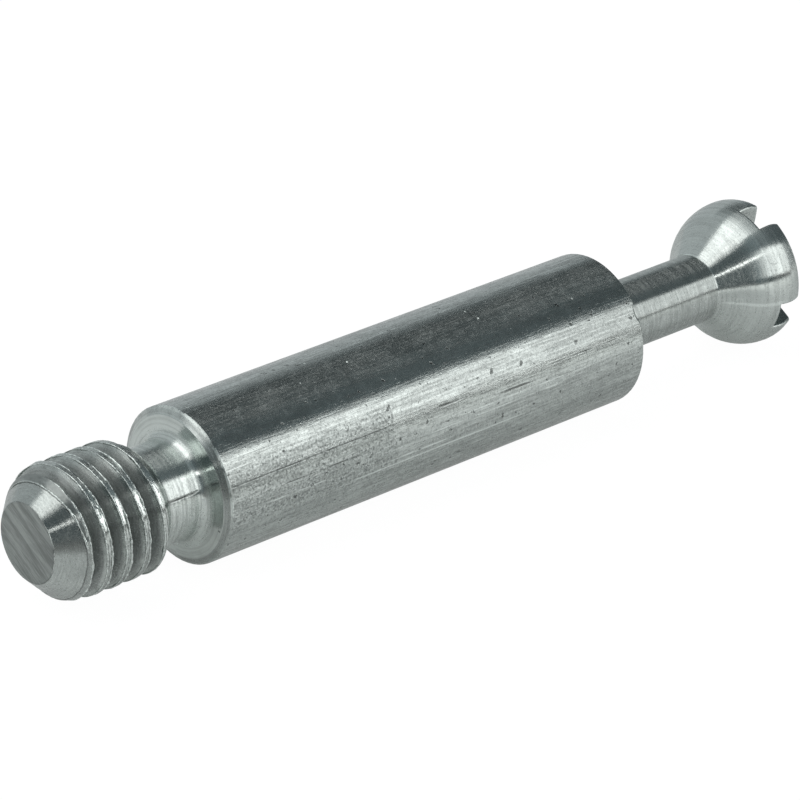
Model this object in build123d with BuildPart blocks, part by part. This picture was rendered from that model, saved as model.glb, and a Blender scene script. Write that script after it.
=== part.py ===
from build123d import *
import os
from math import asin, ceil, cos, degrees, radians, sin, sqrt, tan

# Furniture connector bolt, turned and cut from one bar of steel.
# All sizes are in millimetres and degrees. The bolt lies along X: the seat that
# stops it against the first panel is at x = 0, the thread points towards -X and
# the ball head towards +X. Z is up.

# Threaded end
thread_major_radius = 3.0
thread_pitch = 1.0
crest_worn_off = 0.04
crest_flat = 0.175
tip_reach = 7.82
tip_face_radius = 1.76
tip_bevel_angle = 45
lead_radius = 2.79
lead_length = 0.6
groove_runout = 0.03
groove_start_turn = 220

# Relief groove and seat
relief_radius = 2.2
relief_length = 2.03
relief_ramp_angle = 45
seat_radius = 3.15
seat_angle = 9
seat_fillet = 0.45

# Shank
shank_radius = 3.5
shank_length = 24.0
shank_bevel_length = 0.22
shank_end_bevel = 0.25

# Thin neck and ball head
neck_radius = 1.6
neck_fillet = 0.12
ball_reach = 34.0
ball_radius = 3.41
ball_back_radius = 2.73
ball_back_angle = 44
ball_front_radius = 1.4
ball_front_length = 0.62
dome_rise = 0.43

# Cross recess in the ball
slot_width = 1.3
slot_depth = 1.14
slot_turn = 20
socket_radius = 1.2
socket_point_radius = 0.35
socket_depth = 0.9
edge_round = 0.1

# Dent on the shank's far edge
dent_radius = 1.1
dent_depth = 0.15
dent_turn = 59.5

# Closeness at which an edge counts as lying on the rim
rim_closeness = 0.001

# Thread form of 60 degrees, with the root and crest that its pitch gives
flank_slope = tan(radians(30))
thread_root_radius = thread_major_radius - 0.6134 * thread_pitch
thread_crest_radius = thread_major_radius - crest_worn_off
cutter_radius = thread_crest_radius + 0.09 * thread_pitch
groove_width_at_major = thread_pitch - crest_flat


def groove_half_width(radius):
    return groove_width_at_major / 2 - (thread_major_radius - radius) * flank_slope


# Places along the axis that follow from the sizes
tip_x = -tip_reach
tip_bevel_end_x = tip_x + (lead_radius - tip_face_radius) / tan(radians(tip_bevel_angle))
lead_end_x = tip_bevel_end_x + lead_length
ramp_start_x = -relief_length
ramp_end_x = ramp_start_x - (thread_crest_radius - relief_radius) / tan(radians(relief_ramp_angle))
seat_foot_x = -(seat_radius - relief_radius) * tan(radians(seat_angle))
shank_start_x = shank_bevel_length
shank_end_x = shank_start_x + shank_length
neck_start_x = shank_end_x + shank_end_bevel

# The ball's back is a cone that runs tangent into the back arc
back_arc_centre = (ball_reach, ball_radius - ball_back_radius)
back_angle = radians(ball_back_angle)
cone_end_x = ball_reach - ball_back_radius * sin(back_angle)
cone_end_radius = back_arc_centre[1] + ball_back_radius * cos(back_angle)
neck_end_x = cone_end_x - (cone_end_radius - neck_radius) / tan(back_angle)

# The ball's front is a tighter arc, cut off at the rim by a low dome
front_arc_centre = (ball_reach, ball_radius - ball_front_radius)
front_turn = degrees(asin(ball_front_length / ball_front_radius))
rim_x = ball_reach + ball_front_length
rim_radius = front_arc_centre[1] + sqrt(ball_front_radius**2 - ball_front_length**2)
dome_radius = (rim_radius**2 + dome_rise**2) / (2 * dome_rise)
dome_top_x = rim_x + dome_rise
dome_turn = degrees(asin(rim_radius / dome_radius))

slot_floor_x = rim_x - slot_depth
slot_length = 3 * ball_radius
socket_point_x = slot_floor_x - socket_depth

# The dent is a ball's print, pressed in at 45 degrees to the edge
dent_reach = (dent_radius - dent_depth) / sqrt(2)
dent_x = neck_start_x - shank_end_bevel / 2 + dent_reach
dent_from_axis = shank_radius - shank_end_bevel / 2 + dent_reach
dent_y = -dent_from_axis * sin(radians(dent_turn))
dent_z = dent_from_axis * cos(radians(dent_turn))

# The groove is cut in whole turns, enough to run out past the tip and in the relief groove
groove_end_x = ramp_start_x + groove_runout
groove_turns = ceil((groove_end_x - tip_x) / thread_pitch)

# One turn of the thread groove, with its section in the plane of the axis
with BuildPart() as groove_turn:
    with BuildLine() as groove_path:
        Helix(
            pitch=thread_pitch,
            height=thread_pitch,
            radius=thread_root_radius,
            direction=(1, 0, 0),
        )
    with BuildSketch(Plane.XZ):
        with BuildLine():
            root_half = groove_half_width(thread_root_radius)
            top_half = groove_half_width(cutter_radius)
            Polyline(
                (-root_half, thread_root_radius),
                (-top_half, cutter_radius),
                (top_half, cutter_radius),
                (root_half, thread_root_radius),
                close=True,
            )
        make_face()
    sweep(path=groove_path.line, is_frenet=True)

with BuildPart() as connector_bolt:
    # Turned outline, spun about the axis
    with BuildSketch(Plane.XY) as outline:
        with BuildLine():
            Polyline(
                (tip_x, 0),
                (tip_x, tip_face_radius),
                (tip_bevel_end_x, lead_radius),
                (lead_end_x, thread_crest_radius),
                (ramp_end_x, thread_crest_radius),
                (ramp_start_x, relief_radius),
                (seat_foot_x, relief_radius),
                (0, seat_radius),
                (shank_start_x, shank_radius),
                (shank_end_x, shank_radius),
                (neck_start_x, shank_radius - shank_end_bevel),
                (neck_start_x, neck_radius),
                (neck_end_x, neck_radius),
                (cone_end_x, cone_end_radius),
            )
            CenterArc(back_arc_centre, ball_back_radius, 90 + ball_back_angle, -ball_back_angle)
            CenterArc(front_arc_centre, ball_front_radius, 90, -front_turn)
            CenterArc((dome_top_x - dome_radius, 0), dome_radius, dome_turn, -dome_turn)
            Line((dome_top_x, 0), (tip_x, 0))
        make_face()
        for corner, radius in (
            ((seat_foot_x, relief_radius), seat_fillet),
            ((neck_end_x, neck_radius), neck_fillet),
        ):
            fillet(outline.vertices().sort_by_distance(corner)[0], radius)
    revolve(axis=Axis.X)

    # Thread groove
    for turn in range(1, groove_turns + 1):
        turn_start_x = groove_end_x - turn * thread_pitch
        with Locations(Location((turn_start_x, 0, 0), (groove_start_turn, 0, 0))):
            add(groove_turn.part, mode=Mode.SUBTRACT)

    # Cross recess: two slots that break out through the rim, and a tapered socket
    with BuildSketch(Plane.YZ.offset(slot_floor_x)):
        for turn in (slot_turn, slot_turn + 90):
            Rectangle(slot_width, slot_length, rotation=turn)
    extrude(amount=slot_depth + 2 * dome_rise, mode=Mode.SUBTRACT)
    slot_edges = connector_bolt.edges(Select.NEW).filter_by(GeomType.BSPLINE)
    rim_edges = connector_bolt.edges().filter_by_position(
        Axis.X, rim_x - rim_closeness, rim_x + rim_closeness
    )
    fillet(slot_edges + rim_edges, edge_round)
    with BuildSketch(Plane.XY):
        with BuildLine():
            Polyline(
                (socket_point_x, 0),
                (socket_point_x, socket_point_radius),
                (slot_floor_x, socket_radius),
                (slot_floor_x, 0),
                close=True,
            )
        make_face()
    revolve(axis=Axis.X, mode=Mode.SUBTRACT)

    # Dent
    with Locations((dent_x, dent_y, dent_z)):
        Sphere(dent_radius, mode=Mode.SUBTRACT)

connector_bolt.part.label = "connector_bolt"
os.makedirs("parts", exist_ok=True)
export_step(connector_bolt.part, "parts/connector_bolt.step")
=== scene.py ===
import math
from types import SimpleNamespace

import bpy
from mathutils import Euler, Matrix, Vector, noise


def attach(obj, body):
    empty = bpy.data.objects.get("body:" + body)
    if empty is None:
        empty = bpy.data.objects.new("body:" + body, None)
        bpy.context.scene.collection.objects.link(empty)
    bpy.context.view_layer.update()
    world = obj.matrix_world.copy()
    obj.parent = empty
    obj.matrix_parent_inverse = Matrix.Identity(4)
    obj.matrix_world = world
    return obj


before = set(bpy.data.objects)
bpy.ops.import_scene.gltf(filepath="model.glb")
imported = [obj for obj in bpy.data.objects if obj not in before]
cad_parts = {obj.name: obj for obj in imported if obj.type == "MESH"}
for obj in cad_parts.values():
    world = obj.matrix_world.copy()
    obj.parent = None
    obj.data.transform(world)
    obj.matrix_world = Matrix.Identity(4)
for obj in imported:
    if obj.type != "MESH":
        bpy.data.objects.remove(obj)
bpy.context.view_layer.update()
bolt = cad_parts["connector_bolt"]
scene = bpy.context.scene
scene.view_settings.view_transform = "Standard"

# Sizes of the bolt that the marks and burrs follow, in millimetres
TIP_X = -7.82
TIP_FACE_RADIUS = 1.76
LEAD_START_X = -6.79
LEAD_RADIUS = 2.79
LEAD_END_X = -6.19
CREST_RADIUS = 2.96
RAMP_START_X = -2.03
LEDGE_TOP_X = -7.13
LEDGE_SIDE_X = -6.82
RELIEF_RADIUS = 2.2
THREAD_PITCH = 1.0
GROOVE_AT_TOP_X = -2.611
GROOVE_HALF_WIDTH = 0.4125
MAJOR_RADIUS = 3.0
FLANK_DEGREES = 30
SHANK_RADIUS = 3.5
SHANK_START_X = 0.2
SHANK_END_X = 24.25
NECK_START_X = 24.4
NECK_END_X = 31.0

# Length of one degree round the shank, in millimetres
DEGREE_ON_SHANK = SHANK_RADIUS * math.pi / 180.0

# The saw's way across the tip, as its shares of y and z
SAW_Y = 0.840
SAW_Z = 0.543

# How far the bump reaches and how softly edges catch the light, in metres
BUMP_DEPTH = 0.000012
BURR_BUMP_DEPTH = 0.00001
EDGE_SOFTNESS = 0.00004

# Single knocks on the shank: place along it in millimetres, turn in degrees, size in millimetres
KNOCKS = (
    (12.8, 24.0, 0.09),
    (6.0, 37.0, 0.10),
    (13.7, 35.0, 0.07),
    (9.3, 60.0, 0.13),
    (15.3, 62.0, 0.14),
    (17.0, 64.0, 0.12),
    (20.3, 64.0, 0.12),
    (3.6, 97.0, 0.15),
    (3.05, 113.0, 0.13),
    (18.1, 31.0, 0.08),
    (4.4, 52.0, 0.07),
    (11.2, 79.0, 0.09),
    (21.8, 48.0, 0.08),
    (7.9, 88.0, 0.08),
)

# Streaks along the bolt: start and end in millimetres, turn and half width in degrees
# Those at about 72 degrees carry on the painted dark reflection of the horizon
DARK_STREAKS = (
    (12.0, 13.6, 72.0, 1.1),
    (18.5, 23.8, 72.5, 0.5),
    (3.0, 7.2, 84.0, 0.4),
    (15.5, 17.6, 79.0, 0.8),
    (-1.9, -0.6, 72.0, 1.6),
)
LIGHT_STREAKS = (
    (8.2, 12.5, 98.0, 0.5),
    (11.5, 19.0, 88.5, 0.5),
    (13.0, 21.0, 84.0, 0.4),
    (2.2, 5.4, 93.0, 0.5),
)

# Ragged ridges: sides of their section, degrees from point to point, points over which they fade,
# and in millimetres the lowest crest that has a lip, and the lip's height and width
RIDGE_SIDES = 8
RIDGE_STEP = 1.25
RIDGE_FADE = 12.0
LOWEST_CREST_RADIUS = 2.72
LIP_HEIGHT = 0.05
LIP_WIDTH = 0.042

# The stage, in metres
FLOOR_Z = -SHANK_RADIUS / 1000
FLOOR_REACH = 0.6
LAMP_DISTANCE = 0.5

# Lamps: name, start and end along x, turn in degrees, breadth, radiance and slant in degrees
LAMPS = (
    ("front_box", -0.05, 0.51, 62.6, 0.385, 1.5, 7.0),
    ("strip_box", -0.95, -0.12, 48.0, 0.04, 3.4, 0.0),
    ("top_far_box", -0.95, -0.30, -20.5, 0.40, 1.32, 0.0),
    ("top_near_box", -0.30, 0.01, -9.0, 0.41, 1.6, 0.0),
    ("low_box", -0.46, -0.29, 7.5, 0.14, 1.75, 0.0),
)

# The photograph's camera: place in metres, turns about x, y and z in degrees, lens in millimetres
CAMERA_PLACE = (-0.104878, -0.129280, 0.080981)
CAMERA_TURNS = (65.14629, 0.00968, -42.29556)
CAMERA_LENS = 198.868
CAMERA_SENSOR = 36.0


class Nodes:
    """Short calls for building a node tree."""

    def __init__(self, tree):
        self.tree = tree
        tree.nodes.clear()

    def add(self, kind, inputs=None, **settings):
        made = self.tree.nodes.new(kind)
        for name, value in settings.items():
            setattr(made, name, value)
        for key, value in (inputs or {}).items():
            self.put(made.inputs[key], value)
        return made

    def put(self, socket, value):
        if isinstance(value, bpy.types.NodeSocket):
            self.tree.links.new(value, socket)
        else:
            socket.default_value = value

    def math(self, operation, *values):
        made = self.add("ShaderNodeMath", operation=operation)
        for socket, value in zip(made.inputs, values):
            self.put(socket, value)
        return made.outputs[0]

    def chain(self, operation, values):
        """Works through two or more values in turn with one operation."""
        result = values[0]
        for value in values[1:]:
            result = self.math(operation, result, value)
        return result

    def times(self, *values):
        return self.chain("MULTIPLY", values)

    def plus(self, *values):
        return self.chain("ADD", values)

    def most(self, *values):
        return self.chain("MAXIMUM", values)

    def minus(self, a, b):
        return self.math("SUBTRACT", a, b)

    def outside(self, mask):
        """What a mask leaves free."""
        return self.minus(1.0, mask)

    def sway(self, value, reach):
        """Turns noise from 0 to 1 into a swing about 0, reach wide."""
        return self.times(self.minus(value, 0.5), reach)

    def step(self, value, low, high, to_low=0.0, to_high=1.0):
        """Runs smoothly from to_low at low to to_high at high."""
        made = self.add("ShaderNodeMapRange", interpolation_type="SMOOTHSTEP")
        for key, number in enumerate((value, low, high, to_low, to_high)):
            self.put(made.inputs[key], number)
        return made.outputs[0]

    def fall(self, value, low, high):
        """Runs smoothly from 1 at low to 0 at high."""
        return self.step(value, low, high, 1.0, 0.0)

    def band(self, value, low, high, soft):
        """1 between low and high, 0 outside, with soft edges."""
        up = self.step(value, low - soft, low + soft)
        down = self.fall(value, high - soft, high + soft)
        return self.times(up, down)

    def noise(self, vector, scale, detail, rough):
        inputs = {"Vector": vector, "Scale": scale, "Detail": detail, "Roughness": rough}
        return self.add("ShaderNodeTexNoise", inputs).outputs["Fac"]

    def cells(self, vector, scale):
        """Scattered points: each cell's own number is Color, and the way to its point Distance."""
        inputs = {"Vector": vector, "Scale": scale, "Randomness": 1.0}
        return self.add("ShaderNodeTexVoronoi", inputs).outputs

    def vector(self, x, y, z):
        return self.add("ShaderNodeCombineXYZ", {0: x, 1: y, 2: z}).outputs[0]

    def vector_math(self, operation, a, b, result="Vector"):
        return self.add("ShaderNodeVectorMath", {0: a, 1: b}, operation=operation).outputs[result]

    def parts(self, vector):
        """The x, y and z of a vector."""
        return self.add("ShaderNodeSeparateXYZ", {0: vector}).outputs

    def place(self, kind="Object"):
        return self.add("ShaderNodeTexCoord").outputs[kind]

    def turn(self, y, z):
        """Degrees round the bolt's axis, from straight up towards the camera's side."""
        return self.times(self.math("ARCTAN2", self.times(y, -1.0), z), 180.0 / math.pi)

    def mix(self, factor, a, b):
        """Mixes two numbers."""
        made = self.add("ShaderNodeMix", {0: factor, 2: a, 3: b}, data_type="FLOAT")
        return made.outputs[0]

    def mix_vector(self, factor, a, b):
        made = self.add("ShaderNodeMix", {0: factor, 4: a, 5: b}, data_type="VECTOR")
        return made.outputs[1]

    def mix_colour(self, factor, a, b):
        made = self.add("ShaderNodeMix", {0: factor, 6: a, 7: b}, data_type="RGBA")
        return made.outputs[2]

    def surface(self, shader, kind="ShaderNodeOutputMaterial"):
        self.add(kind, {"Surface": shader.outputs[0]})


def new_material(name):
    material = bpy.data.materials.new(name)
    material.use_nodes = True
    return material, Nodes(material.node_tree)


def steel_tint(lightness):
    """Bare steel's colour, a little greener than grey, for a lightness from 0 to 1."""
    return (0.917 * lightness, lightness, 0.953 * lightness, 1.0)


def lay_shades(n, colour, layers):
    """Lays shades of steel over a colour in turn, each as mask, share and lightness."""
    for mask, share, lightness in layers:
        colour = n.mix_colour(n.times(mask, share), colour, steel_tint(lightness))
    return colour


def bolt_place(n):
    """Place on the bolt: along the axis, away from it and round it, in millimetres and degrees."""
    x, y, z = [n.times(part, 1000.0) for part in n.parts(n.place())]
    return SimpleNamespace(
        x=x,
        y=y,
        z=z,
        radius=n.math("SQRT", n.plus(n.times(y, y), n.times(z, z))),
        turn=n.turn(y, z),
        point=n.vector(x, y, z),
    )


def regions(n, at):
    """The bolt's parts, as masks from 0 to 1."""
    thread = n.fall(at.x, -2.9, -2.4)
    bevel = n.fall(n.plus(at.x, at.radius), -4.2, -3.95)
    in_shank = n.band(at.x, SHANK_START_X, SHANK_END_X, 0.03)
    in_seat = n.band(at.x, -0.17, 0.03, 0.02)
    in_relief = n.band(at.x, -2.3, 0.03, 0.1)
    in_neck = n.band(at.x, NECK_START_X, NECK_END_X, 0.05)
    return SimpleNamespace(
        shank=n.times(in_shank, n.step(at.radius, 3.40, 3.45)),
        tip=n.fall(at.x, -7.80, -7.79),
        seat=n.times(in_seat, n.step(at.radius, 2.6, 2.7)),
        thread=thread,
        crest=n.times(thread, n.step(at.radius, 2.86, 2.95)),
        groove=n.times(thread, n.fall(at.radius, 2.62, 2.92), n.outside(bevel)),
        bevel=bevel,
        relief=n.times(in_relief, n.fall(at.radius, 3.2, 3.3)),
        neck=n.times(in_neck, n.fall(at.radius, 1.9, 2.0)),
    )


def tool_marks(n, at, on):
    """Draw lines on the shank, rings where it is turned, lines along the flanks, and the saw's on the tip."""
    draw_point = n.vector(n.times(at.x, 0.045), at.y, at.z)
    ring_point = n.vector(at.x, at.radius, n.times(at.turn, 0.002))
    flank_point = n.vector(at.radius, n.times(at.x, 0.12), n.times(at.turn, 0.004))
    saw_along = n.plus(n.times(at.y, SAW_Y), n.times(at.z, SAW_Z))
    saw_across = n.minus(n.times(at.y, SAW_Z), n.times(at.z, SAW_Y))
    saw_point = n.vector(n.times(saw_along, 0.10), saw_across, 0.0)

    draw_fine = n.noise(draw_point, 11.0, 5.0, 0.7)
    rings = n.noise(ring_point, 9.0, 2.5, 0.6)
    flank_lines = n.noise(flank_point, 15.0, 4.0, 0.75)
    saw_fine = n.noise(saw_point, 13.0, 3.0, 0.7)
    saw_broad = n.noise(saw_point, 2.2, 2.0, 0.6)
    saw = n.mix(0.6, saw_fine, saw_broad)
    turned = n.mix(on.thread, rings, flank_lines)
    return SimpleNamespace(
        draw_broad=n.noise(draw_point, 1.7, 3.0, 0.6),
        rings=rings,
        flank_lines=flank_lines,
        saw=saw,
        lines=n.mix(on.tip, n.mix(on.shank, turned, draw_fine), saw),
    )


def surface_grain(n, at):
    """Patina in patches, a mottle, and a fine stipple with its dark specks and bright glints."""
    stipple = n.noise(at.point, 10.0, 2.5, 0.65)
    return SimpleNamespace(
        patches=n.noise(at.point, 0.45, 3.0, 0.6),
        mottle=n.noise(at.point, 2.6, 4.0, 0.7),
        stipple=stipple,
        specks=n.step(stipple, 0.53, 0.62),
        glints=n.fall(stipple, 0.38, 0.46),
    )


def small_pits(n, at, on, shake):
    """Small dark pits: tiny ones on the turned faces, more and uneven ones on the shank."""
    shaken = n.vector(n.plus(at.x, shake), n.minus(at.y, shake), at.z)
    cells = n.cells(shaken, n.mix(on.shank, 1.1, 2.6))
    share = n.math("POWER", cells["Color"], n.mix(on.shank, 1.0, 2.5))
    size = n.times(share, n.mix(on.shank, 0.035, 0.24))
    away = n.math("DIVIDE", cells["Distance"], n.plus(size, 0.012))
    return n.times(n.fall(away, 0.7, 1.3), n.outside(on.thread))


def bright_flecks(n, at, on):
    """A few bright flecks on the shank, scattered apart from the pits."""
    fleck_point = n.vector_math("ADD", at.point, (7.3, 2.9, 4.1))
    cells = n.cells(fleck_point, 0.8)
    return n.times(n.fall(cells["Distance"], 0.035, 0.06), on.shank)


def single_knocks(n, at, on, shake):
    """Single knocks on the shank, and the rims round them."""
    arc = n.times(at.turn, DEGREE_ON_SHANK)
    shank_point = n.vector(n.plus(at.x, shake), n.minus(arc, shake), 0.0)
    knocks = 0.0
    rims = 0.0
    for along, turn, size in KNOCKS:
        middle = n.vector(along, turn * DEGREE_ON_SHANK, 0.0)
        away = n.vector_math("DISTANCE", shank_point, middle, "Value")
        knocks = n.most(knocks, n.fall(away, size * 0.45, size * 0.95))
        rims = n.most(rims, n.band(away, size * 0.9, size * 1.3, size * 0.3))
    return n.times(knocks, on.shank), n.times(rims, on.shank)


def crest_seams(n, at, on, mottle):
    """Dark seams that run inside both lips of the thread's crest."""
    along_thread = n.minus(n.minus(at.x, GROOVE_AT_TOP_X), n.math("DIVIDE", at.turn, 360.0))
    from_groove = n.math("PINGPONG", along_thread, THREAD_PITCH / 2)
    seams = n.band(n.plus(from_groove, n.sway(mottle, 0.10)), 0.425, 0.45, 0.008)
    broken = n.step(n.noise(at.point, 2.2, 2.0, 0.6), 0.46, 0.54)
    return n.times(seams, on.crest, broken)


def tip_ledge(n, at, on, mottle):
    """The stretch past the ledge between the tip's bevel and the thread's first groove, which is given
    painted shade, and the painted shade at its foot.
    """
    ledge_from = n.step(at.turn, 0.0, 90.0, LEDGE_TOP_X, LEDGE_SIDE_X)
    past = n.minus(at.x, n.plus(ledge_from, n.sway(mottle, 0.12)))
    ledge = n.times(n.step(past, 0.0, 0.02), on.bevel)
    shade = n.times(n.band(past, -0.055, -0.015, 0.012), on.bevel)
    return ledge, shade


def lay_streaks(n, at, wavy_turn, broken, lines, streaks):
    """Adds broken streaks along the bolt to lines that are there."""
    for start, end, turn, half in streaks:
        along = n.band(at.x, start, end, 0.4)
        across = n.band(wavy_turn, turn - half, turn + half, half * 0.6)
        lines = n.most(lines, n.times(along, across, broken))
    return lines


def lines_of_use(n, at, on, draw_broad):
    """Dark and light lines along the bolt: lines that use left, a painted dark reflection of the horizon at
    72 degrees and a painted reflection line on the ball; and fine scratches on the shank.
    """
    wavy_turn = n.plus(at.turn, n.sway(draw_broad, 1.6))
    line_point = n.vector(n.times(at.x, 0.16), at.y, at.z)
    broken = n.step(n.noise(line_point, 5.0, 3.0, 0.7), 0.36, 0.56)
    scratches = n.step(n.noise(line_point, 8.0, 2.0, 0.6), 0.60, 0.68)

    # A painted dark reflection of the horizon, along the shank at 72 degrees
    horizon_reflection_line = n.times(n.band(at.x, 0.3, 9.6, 0.4), n.band(wavy_turn, 71.9, 73.1, 0.35))
    horizon_reflection_line = n.times(horizon_reflection_line, n.step(broken, 0.0, 1.0, 0.55, 1.0))
    long_light = n.times(n.band(at.x, 7.0, 16.5, 1.0), n.band(wavy_turn, 101.8, 103.2, 0.3))
    # A painted reflection line on the ball's cone
    ball_reflection = n.times(n.band(at.x, 31.3, 33.6, 0.3), n.band(wavy_turn, 95.0, 98.0, 1.0))
    return SimpleNamespace(
        dark=lay_streaks(n, at, wavy_turn, broken, horizon_reflection_line, DARK_STREAKS),
        light=lay_streaks(n, at, wavy_turn, broken, long_light, LIGHT_STREAKS),
        ball_reflection=ball_reflection,
        scratches=n.times(scratches, on.shank),
    )


def dull_stretch(n, at, on, mottle):
    """A duller stretch of skin next to the seat, which ends in a step."""
    step_x = n.plus(at.x, n.sway(mottle, 0.8))
    around = n.band(at.turn, 60.0, 104.0, 4.0)
    return n.times(n.fall(step_x, 9.25, 9.45), around, on.shank)


def bright_rim(n, at):
    """A broken bright line round the shank's edge at the seat: a worn edge, brightened further as a painted
    highlight.
    """
    rim = n.times(n.band(at.x, 0.17, 0.27, 0.02), n.band(at.turn, -20.0, 96.0, 10.0))
    return n.times(rim, n.step(n.noise(at.point, 3.0, 3.0, 0.7), 0.40, 0.52))


def wear_marks(n, at, on, tools, grain):
    """What use and handling left on the bolt, with painted highlights, reflection lines and shade among them,
    as masks from 0 to 1.
    """
    shake = n.sway(n.noise(at.point, 6.0, 2.0, 0.6), 0.5)
    lines = lines_of_use(n, at, on, tools.draw_broad)
    knocks, knock_rims = single_knocks(n, at, on, shake)
    ledge, ledge_shade = tip_ledge(n, at, on, grain.mottle)
    seams = crest_seams(n, at, on, grain.mottle)
    scuff_noise = n.noise(at.point, 1.7, 6.0, 0.78)
    return SimpleNamespace(
        pits=small_pits(n, at, on, shake),
        flecks=bright_flecks(n, at, on),
        scuffs=n.times(n.step(scuff_noise, 0.52, 0.64), on.shank),
        knock_rims=knock_rims,
        ledge=ledge,
        dull_skin=dull_stretch(n, at, on, grain.mottle),
        rim_wear_and_highlight=bright_rim(n, at),
        # A painted highlight on the neck's fillet where it meets the ball, on its top side
        fillet_highlight=n.times(n.band(at.x, 30.98, 31.06, 0.015), n.band(at.turn, -25.0, 24.0, 8.0)),
        scratches=lines.scratches,
        light_lines=lines.light,
        ball_reflection_line=lines.ball_reflection,
        dark=n.most(lines.dark, knocks, seams, ledge_shade),
    )


def part_shades(n, at, on, tools, grain, marks):
    """The colour of each part of the bolt, with its tool marks, a painted shadow line at the seat's edge and
    painted shade past the tip's ledge.
    """
    tone = n.mix(0.55, tools.draw_broad, grain.mottle)
    colour = n.mix_colour(n.step(tone, 0.38, 0.62), steel_tint(0.405), steel_tint(0.565))
    # A painted shadow line along the seat's edge, deepening towards the camera's side
    seat_edge_shadow = n.times(n.band(at.x, 0.01, 0.17, 0.01), n.step(at.radius, 3.10, 3.15))
    end_wear = n.times(n.step(at.x, 17.5, 23.0), n.band(at.turn, 34.0, 70.0, 6.0), on.shank)
    line_share = n.mix(on.shank, n.step(at.x, 24.0, 25.0, 0.3, 0.18), 0.6)
    return lay_shades(
        n,
        colour,
        (
            (on.relief, 0.85, 0.660),
            (n.step(at.x, NECK_END_X, 31.1), 0.8, 0.570),
            (seat_edge_shadow, n.step(at.turn, 30.0, 60.0, 0.0, 0.7), 0.290),
            (on.bevel, 0.8, 0.425),
            (end_wear, 0.6, 0.360),
            (on.neck, 0.35, 0.360),
            # Painted shade over the stretch past the tip's ledge
            (marks.ledge, 0.75, 0.315),
            (n.step(tools.lines, 0.48, 0.60), line_share, 0.325),
            (n.fall(tools.lines, 0.34, 0.46), line_share, 0.680),
        ),
    )


def groove_shades(n, at, on, tools, colour):
    """Grime in the thread's grooves, with painted shade that makes them darker on the camera's side, and
    lines along the flanks.
    """
    # Grime in the grooves, deepened by painted shade on the camera's side
    grime_and_painted_shade = n.mix_colour(n.band(at.turn, 32.0, 108.0, 22.0), steel_tint(0.295), steel_tint(0.180))
    colour = n.mix_colour(n.times(on.groove, 0.75), colour, grime_and_painted_shade)
    dark_lines = n.times(n.step(tools.flank_lines, 0.50, 0.60), on.groove)
    light_lines = n.times(n.fall(tools.flank_lines, 0.36, 0.46), on.groove)
    return lay_shades(n, colour, ((dark_lines, 0.45, 0.140), (light_lines, 0.35, 0.470)))


def wear_shades(n, at, on, tools, grain, marks, colour):
    """Grain, wear and marks over the parts' colours, with painted highlights and reflection lines among them,
    then the sawn tip, and the pits last.
    """
    grain_share = n.mix(on.shank, 0.05, n.mix(marks.dull_skin, 0.24, 0.85))
    crest_wear = n.times(on.crest, n.step(grain.mottle, 0.42, 0.58))
    # A painted highlight on the crests, on the side where the light falls
    crest_highlight = n.times(on.crest, n.band(at.turn, 38.0, 68.0, 6.0))
    colour = lay_shades(
        n,
        colour,
        (
            (grain.specks, grain_share, 0.210),
            (grain.glints, grain_share, 0.700),
            (marks.scuffs, 0.25, 0.640),
            (marks.dull_skin, 0.18, 0.315),
            (crest_wear, 0.5, 0.620),
            (crest_highlight, 0.85, 0.860),
            (marks.light_lines, 0.8, 0.780),
            # A painted highlight on the neck's fillet
            (marks.fillet_highlight, 0.9, 0.920),
            # The seat's rim: worn, and brightened as a painted highlight
            (marks.rim_wear_and_highlight, 0.9, 0.920),
            # A painted reflection line on the ball
            (marks.ball_reflection_line, 0.5, 0.870),
            (marks.knock_rims, 0.25, 0.740),
            (marks.flecks, 0.8, 0.850),
            # Dark marks, with the painted dark reflection of the horizon among them
            (marks.dark, 0.82, 0.097),
        ),
    )
    sawn = n.mix_colour(n.step(tools.saw, 0.38, 0.62), steel_tint(0.218), steel_tint(0.405))
    colour = n.mix_colour(on.tip, colour, sawn)
    return lay_shades(n, colour, ((marks.pits, 0.85, 0.065),))


def steel_roughness(n, on, tools, grain, marks):
    """Smooth where the steel was drawn or turned, matt where it is scuffed, grimy, torn or sawn."""
    worked = n.step(tools.lines, 0.35, 0.65)
    rough = n.mix(on.shank, n.mix(worked, 0.19, 0.27), n.mix(worked, 0.17, 0.26))
    rough = n.plus(rough, n.sway(grain.patches, 0.10))
    for mask, more in (
        (grain.specks, 0.08),
        (marks.dull_skin, 0.08),
        (marks.scuffs, 0.03),
        (marks.flecks, 0.4),
        (marks.ledge, 0.15),
        (on.neck, 0.03),
        (on.relief, 0.02),
    ):
        rough = n.plus(rough, n.times(mask, more))
    rough = n.mix(n.times(on.groove, 0.8), rough, 0.27)
    rough = n.mix(n.most(marks.fillet_highlight, marks.rim_wear_and_highlight), rough, 0.45)
    rough = n.mix(on.seat, rough, n.mix(n.step(tools.rings, 0.35, 0.65), 0.12, 0.18))
    return n.mix(on.tip, rough, n.mix(n.step(tools.saw, 0.35, 0.65), 0.42, 0.55))


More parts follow.
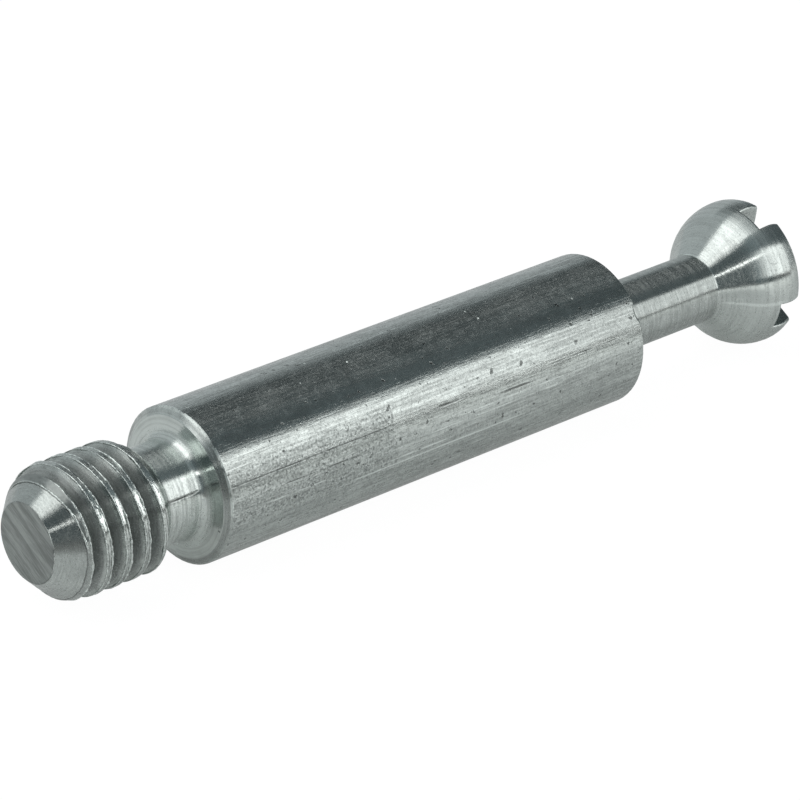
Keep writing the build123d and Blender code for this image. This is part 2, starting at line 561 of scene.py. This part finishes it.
def steel_height(n, at, on, tools, grain, marks):
    """Relief: tool marks, stipple, the lathe's wobble and scratches, with pits and dark marks sunk in."""
    camera_side = n.mix(marks.dull_skin, 0.35, 1.3)
    shank_stipple = n.mix(n.step(at.turn, 40.0, 52.0), 0.15, camera_side)
    wobble_point = n.vector(n.times(at.x, 5.0), n.times(at.radius, 5.0), n.times(at.turn, 0.05))
    wobble = n.times(n.noise(wobble_point, 1.6, 1.0, 0.5), n.outside(on.shank))
    raised = n.plus(
        n.times(tools.lines, n.mix(on.tip, 0.8, 2.6)),
        n.times(grain.stipple, n.mix(on.shank, 0.04, shank_stipple)),
        n.times(wobble, n.mix(on.bevel, 0.08, 0.5)),
        n.times(marks.scratches, 0.15),
    )
    return n.minus(raised, n.times(n.most(marks.pits, marks.dark), 1.2))


def steel_normal(n, height):
    """The relief, on edges that are softened a little."""
    soft_edge = n.add("ShaderNodeBevel", {"Radius": EDGE_SOFTNESS}, samples=4).outputs[0]
    inputs = {"Height": height, "Strength": 0.6, "Distance": BUMP_DEPTH, "Normal": soft_edge}
    return n.add("ShaderNodeBump", inputs).outputs[0]


def steel_material():
    """Bare turned steel: drawn bar on the shank, tool rings elsewhere, worn thread crests, a sawn tip, with
    painted highlights, reflection lines and shade.
    """
    material, n = new_material("turned_steel")
    at = bolt_place(n)
    on = regions(n, at)
    tools = tool_marks(n, at, on)
    grain = surface_grain(n, at)
    marks = wear_marks(n, at, on, tools, grain)

    colour = part_shades(n, at, on, tools, grain, marks)
    colour = groove_shades(n, at, on, tools, colour)
    colour = wear_shades(n, at, on, tools, grain, marks, colour)

    # The lathe's grain runs round the axis, and the saw's across the tip: each spreads light across itself
    round_axis = n.add("ShaderNodeTangent", direction_type="RADIAL", axis="X").outputs[0]
    shader = n.add(
        "ShaderNodeBsdfPrincipled",
        {
            "Base Color": colour,
            "Metallic": n.mix(on.groove, 1.0, 0.5),
            "Roughness": steel_roughness(n, on, tools, grain, marks),
            "Anisotropic": 1.0,
            "Anisotropic Rotation": 0.25,
            "Normal": steel_normal(n, steel_height(n, at, on, tools, grain, marks)),
            "Tangent": n.mix_vector(on.tip, round_axis, n.vector(0.0, SAW_Y, SAW_Z)),
        },
    )
    n.surface(shader)
    return material


bolt.data.materials.clear()
bolt.data.materials.append(steel_material())


def burr_material():
    """Bright torn edges of steel, dark in their folds."""
    material, n = new_material("torn_edge_steel")
    point = n.vector_math("MULTIPLY", n.place(), (1000.0, 1000.0, 1000.0))
    torn = n.noise(point, 7.0, 3.0, 0.7)
    fine = n.noise(point, 24.0, 3.0, 0.7)
    bump = n.add("ShaderNodeBump", {"Height": fine, "Strength": 0.7, "Distance": BURR_BUMP_DEPTH})
    shader = n.add(
        "ShaderNodeBsdfPrincipled",
        {
            "Base Color": n.mix_colour(n.step(torn, 0.38, 0.60), steel_tint(0.440), steel_tint(0.760)),
            "Metallic": 1.0,
            "Roughness": n.mix(n.step(fine, 0.3, 0.7), 0.16, 0.34),
            "Normal": bump.outputs[0],
        },
    )
    n.surface(shader)
    return material


def outline_radius(x):
    """The turned outline's radius over the threaded end, in millimetres."""
    bevel = TIP_FACE_RADIUS + (x - TIP_X)
    lead = LEAD_RADIUS + (x - LEAD_START_X) * (CREST_RADIUS - LEAD_RADIUS) / (LEAD_END_X - LEAD_START_X)
    ramp = RELIEF_RADIUS + (RAMP_START_X - x)
    return min(bevel, lead, CREST_RADIUS, ramp)


def crest_edge(degrees, side):
    """Place (x, radius) of a groove's edge after so many degrees, on one side of the groove's middle."""
    groove_x = GROOVE_AT_TOP_X + degrees / 360.0 * THREAD_PITCH
    x = groove_x + side * GROOVE_HALF_WIDTH
    # The edge's place and the outline's radius there depend on each other, so they are found in rounds
    rounds = 30
    for _ in range(rounds):
        below_major = MAJOR_RADIUS - outline_radius(x)
        half = GROOVE_HALF_WIDTH - below_major * math.tan(math.radians(FLANK_DEGREES))
        x = 0.5 * x + 0.5 * (groove_x + side * half)
    return x, outline_radius(x)


def rag(at, scale, seed):
    """Smooth unevenness from -1 to 1, the same each run."""
    return noise.noise(Vector((at * scale, seed, 0.37 * seed)))


def facing(degrees, towards):
    """1 at the side towards so many degrees, falling to 0 a quarter turn away."""
    return max(0.0, math.cos(math.radians(degrees - towards)))


def ragged_ridge(points, seed, height, width):
    """A thin torn lip along points (x, radius, degrees), as a closed tube of uneven section."""
    verts = []
    faces = []
    count = len(points)
    for i, (x, radius, degrees) in enumerate(points):
        fade = min(1.0, i / RIDGE_FADE, (count - 1 - i) / RIDGE_FADE)
        torn = 0.2 + 0.8 * facing(degrees, 75.0) ** 2
        uneven = 1.5 * rag(degrees, 0.07, seed) + 1.3 * torn * rag(degrees, 0.29, seed + 5)
        size = max(0.1, 1.0 + uneven) * fade
        tall = height * size * (0.4 + 0.6 * facing(degrees, 55.0))
        wide = width * (0.6 + 0.4 * size) * fade
        shift = 0.035 * rag(degrees, 0.05, seed + 9) + 0.022 * torn * rag(degrees, 0.24, seed + 13)
        angle = math.radians(degrees)
        for k in range(RIDGE_SIDES):
            a = 2 * math.pi * k / RIDGE_SIDES
            px = max(x + shift + wide * math.cos(a), TIP_X)
            pr = radius + tall * math.sin(a)
            verts.append((px / 1000, -pr * math.sin(angle) / 1000, pr * math.cos(angle) / 1000))
    for i in range(count - 1):
        here = i * RIDGE_SIDES
        there = here + RIDGE_SIDES
        for k in range(RIDGE_SIDES):
            q = (k + 1) % RIDGE_SIDES
            faces.append((here + k, here + q, there + q, there + k))
    last = (count - 1) * RIDGE_SIDES
    faces.append(tuple(range(RIDGE_SIDES)))
    faces.append(tuple(last + k for k in reversed(range(RIDGE_SIDES))))
    return verts, faces


def ledge_x(degrees):
    """Where the tip's bevel ends at a ledge, after so many degrees."""
    share = min(1.0, max(0.0, degrees / 90.0))
    return LEDGE_TOP_X + (LEDGE_SIDE_X - LEDGE_TOP_X) * share * share * (3.0 - 2.0 * share)


def crest_points(side, first, last):
    """Points just inside one edge of the thread's crest, where it stands high enough for a lip."""
    sunk = 0.012
    points = []
    for step in range(first, last):
        degrees = step * RIDGE_STEP
        x, radius = crest_edge(degrees, side)
        if radius >= LOWEST_CREST_RADIUS:
            points.append((x - side * sunk, radius - sunk, degrees))
    return points


def ledge_points():
    """Points along the ledge behind the tip's bevel."""
    turns = [step * RIDGE_STEP for step in range(-48, 76)]
    return [(ledge_x(turn), outline_radius(ledge_x(turn)) - 0.006, turn) for turn in turns]


def rim_points():
    """Points along the tip's rim."""
    return [(TIP_X + 0.016, TIP_FACE_RADIUS, step * 2.0) for step in range(70)]


def lump_points():
    """Points along the lump that is rolled over the first crest."""
    return [(-6.02 + step * 0.0025, CREST_RADIUS - 0.02, 42.0 + step * RIDGE_STEP) for step in range(22)]


def make_burrs():
    """Torn lips on both edges of the crest, on the tip's ledge and rim, and one rolled-over lump."""
    ridges = (
        (crest_points(1.0, -1500, -60), 3.0, LIP_HEIGHT, LIP_WIDTH),
        (crest_points(-1.0, -1500, -100), 7.0, LIP_HEIGHT, LIP_WIDTH),
        (ledge_points(), 11.0, LIP_HEIGHT, LIP_WIDTH),
        (rim_points(), 17.0, 0.024, 0.016),
        (lump_points(), 23.0, 0.06, 0.17),
    )
    verts = []
    faces = []
    for points, seed, height, width in ridges:
        more_verts, more_faces = ragged_ridge(points, seed, height, width)
        start = len(verts)
        verts += more_verts
        faces += [tuple(v + start for v in face) for face in more_faces]
    mesh = bpy.data.meshes.new("thread_burr")
    mesh.from_pydata(verts, [], faces)
    mesh.validate()
    mesh.polygons.foreach_set("use_smooth", [True] * len(mesh.polygons))
    burr = bpy.data.objects.new("thread_burr", mesh)
    scene.collection.objects.link(burr)
    mesh.materials.append(burr_material())
    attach(burr, "root")


make_burrs()


def floor_material():
    """White to the camera with a trace of shadow, and white, grey or dark where the steel reflects it."""
    material, n = new_material("floor_white")
    place = n.parts(n.place())
    x = place[0]
    y = place[1]
    path = n.add("ShaderNodeLightPath").outputs
    reflected = n.most(path["Is Glossy Ray"], path["Is Transmission Ray"])

    # Stretches of the floor that the steel sees: in front of the bolt, by its tip, and far to the left
    in_front = n.fall(y, -0.04, -0.01)
    near_tip = n.times(n.fall(x, -0.016, -0.009), n.fall(y, -0.011, -0.006))
    slanted = n.plus(x, n.times(y, -0.78))
    far_left = n.times(n.fall(slanted, -0.018, -0.006), n.fall(y, -0.022, -0.008))
    dark_stretch = n.most(near_tip, far_left)

    strength = n.mix(n.times(in_front, reflected), 1.055, 1.2)
    strength = n.mix(n.times(dark_stretch, reflected), strength, 0.15)
    reflected_share = n.mix(dark_stretch, n.mix(in_front, 0.22, 0.95), 0.85)
    seen_share = n.times(path["Is Camera Ray"], 0.92)
    share = n.most(seen_share, n.times(reflected, reflected_share))

    pale = n.add("ShaderNodeBsdfPrincipled", {"Base Color": (0.8, 0.8, 0.8, 1), "Roughness": 0.22})
    white = n.add("ShaderNodeEmission", {"Color": (1, 1, 1, 1), "Strength": strength})
    n.surface(n.add("ShaderNodeMixShader", {0: share, 1: pale.outputs[0], 2: white.outputs[0]}))
    return material


def make_floor():
    """A pale floor that looks white, and keeps the bolt's shadow."""
    reach = FLOOR_REACH
    mesh = bpy.data.meshes.new("floor")
    corners = [(x * reach, y * reach, FLOOR_Z) for x, y in ((-1, -1), (1, -1), (1, 1), (-1, 1))]
    mesh.from_pydata(corners, [], [(0, 1, 2, 3)])
    floor = bpy.data.objects.new("floor", mesh)
    scene.collection.objects.link(floor)
    mesh.materials.append(floor_material())


make_floor()


def softbox(name, start_x, end_x, turn, breadth, radiance, slant):
    """A long soft lamp beside the bolt's axis: turned from straight up to the camera's side, and slanted."""
    light = bpy.data.lights.new(name, "AREA")
    light.shape = "RECTANGLE"
    light.size = end_x - start_x
    light.size_y = breadth
    light.energy = radiance * math.pi * light.size * light.size_y
    light.color = (1.0, 0.965, 0.965)
    lamp = bpy.data.objects.new(name, light)
    scene.collection.objects.link(lamp)
    angle = math.radians(turn)
    lean = math.radians(slant)
    away = Vector((0.0, -math.sin(angle), math.cos(angle)))
    level = Vector((1.0, 0.0, 0.0))
    rise = away.cross(level)
    along = level * math.cos(lean) - rise * math.sin(lean)
    side = rise * math.cos(lean) + level * math.sin(lean)
    middle = Vector(((start_x + end_x) / 2, 0.0, 0.0)) + away * LAMP_DISTANCE
    aim = Matrix((along, side, away)).transposed()
    lamp.matrix_world = Matrix.Translation(middle) @ aim.to_4x4()


for lamp_settings in LAMPS:
    softbox(*lamp_settings)


def make_world():
    """A plain studio: pale all round, darker overhead, behind the camera, at the far end and low down."""
    world = bpy.data.worlds.new("studio")
    scene.world = world
    world.use_nodes = True
    n = Nodes(world.node_tree)
    way = n.parts(n.place("Generated"))
    x = way[0]
    turn = n.turn(way[1], way[2])
    overhead = n.times(n.band(turn, -53.0, 41.5, 1.0), n.step(x, 0.1, 0.35))
    camera_side = n.times(n.band(turn, -8.0, 118.0, 2.0), n.fall(x, -0.1, 0.15))
    far_end = n.step(x, 0.69, 0.78)
    horizon = n.times(n.band(turn, 83.0, 90.0, 0.6), n.step(x, -0.25, 0.05))

    strength = n.mix(overhead, 0.61, n.step(turn, -30.0, 41.0, 0.055, 0.125))
    strength = n.mix(camera_side, strength, n.step(x, -0.55, -0.4, 0.11, 0.26))
    strength = n.mix(far_end, strength, 0.13)
    strength = n.mix(horizon, strength, 0.01)
    dark = n.most(overhead, camera_side, horizon, far_end)
    tint = n.mix_colour(dark, (0.955, 1.0, 1.035, 1), (0.83, 1.0, 1.08, 1))
    sky = n.add("ShaderNodeBackground", {"Color": tint, "Strength": strength})
    n.surface(sky, "ShaderNodeOutputWorld")


make_world()


def make_camera():
    """The photograph's place, aim and lens."""
    data = bpy.data.cameras.new("camera")
    data.sensor_width = CAMERA_SENSOR
    data.lens = CAMERA_LENS
    data.clip_start = 0.01
    data.clip_end = 10.0
    camera = bpy.data.objects.new("camera", data)
    scene.collection.objects.link(camera)
    aim = Euler([math.radians(turn) for turn in CAMERA_TURNS]).to_matrix()
    camera.matrix_world = Matrix.Translation(CAMERA_PLACE) @ aim.to_4x4()
    scene.camera = camera


make_camera()
